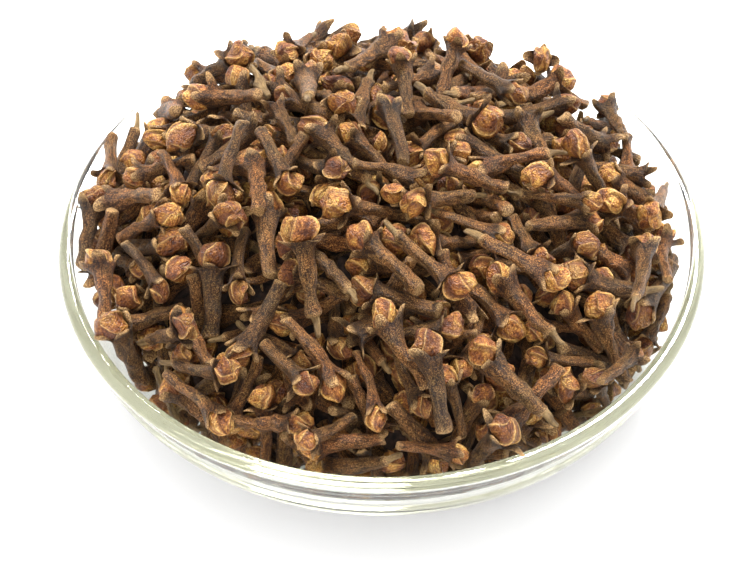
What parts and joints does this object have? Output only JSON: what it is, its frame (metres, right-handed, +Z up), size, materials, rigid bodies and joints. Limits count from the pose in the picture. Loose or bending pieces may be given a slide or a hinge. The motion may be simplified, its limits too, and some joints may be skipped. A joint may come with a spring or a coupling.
{
  "type": "glass bowl heaped with whole cloves",
  "caption": "Shallow round clear glass bowl with a rolled rim, heaped above the rim with loose whole dried cloves.",
  "frame": {"origin": "centre of the bowl's flat foot, on the surface it stands on", "axes": "+Z up out of the bowl's mouth, +Y away from the front, +X to the right as seen from the front"},
  "size_m": [0.11, 0.11, 0.0518],
  "materials": {
    "glass": "clear pressed glass, polished",
    "cloves": "dry, finely wrinkled, dark brown stems with orange-tan buds"
  },
  "bodies": {
    "root": {"bowl": "glass", "cloves": "cloves"}
  },
  "joints": []
}
